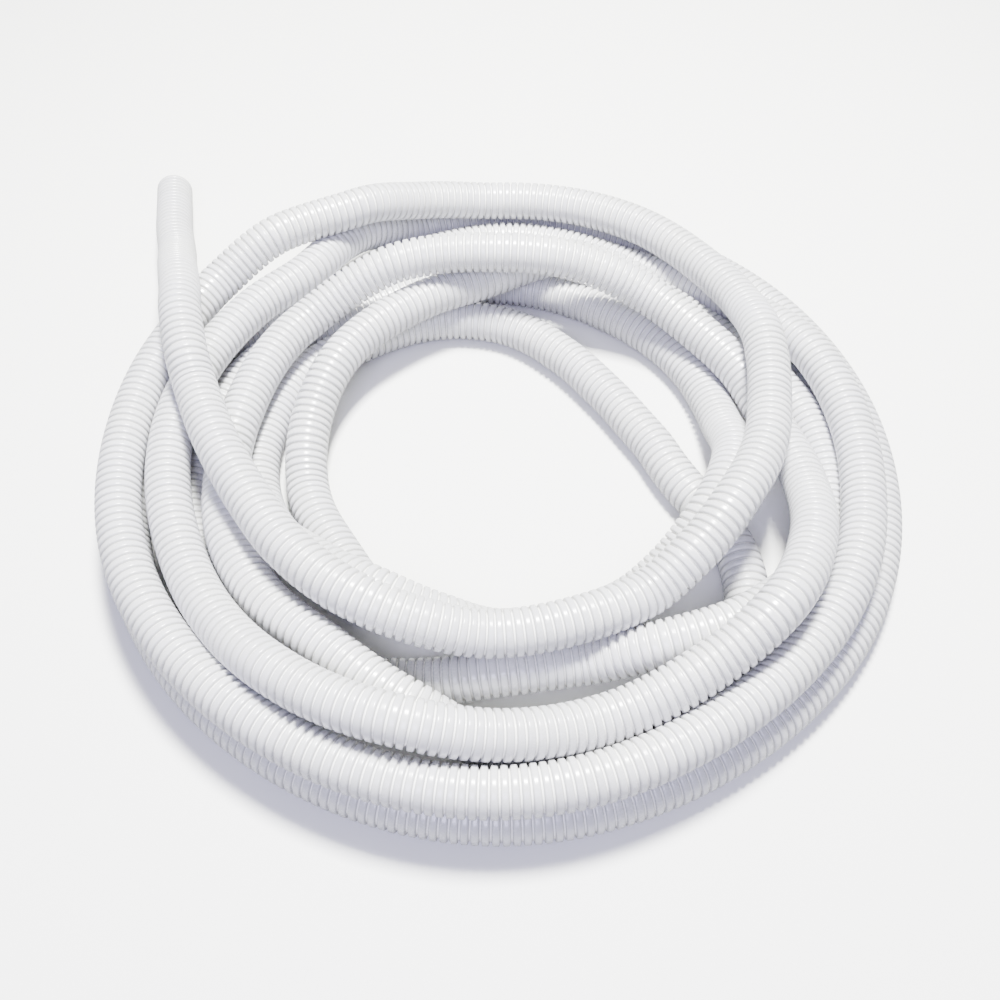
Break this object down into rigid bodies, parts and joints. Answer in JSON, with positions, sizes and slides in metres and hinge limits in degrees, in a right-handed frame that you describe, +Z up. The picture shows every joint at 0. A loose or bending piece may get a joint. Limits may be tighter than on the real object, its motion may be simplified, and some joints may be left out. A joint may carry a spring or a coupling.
{
  "type": "pool vacuum hose",
  "caption": "Long flexible ribbed hose with plain cut ends, lying in a loose round coil, for pool and spa cleaning.",
  "frame": {"origin": "on the floor under the middle of the coil's box", "axes": "+Z up, square to the floor the coil lies on; the free end leaves the coil at -X +Y and points to +Y"},
  "size_m": [0.9226, 0.9222, 0.1509],
  "materials": {
    "hose": "satin, milky white"
  },
  "bodies": {
    "root": {"free_end": "hose", "turn_1": "hose", "turn_2": "hose", "turn_3": "hose", "turn_4": "hose", "turn_5": "hose", "turn_6": "hose", "turn_7": "hose", "hidden_end": "hose"}
  },
  "joints": []
}
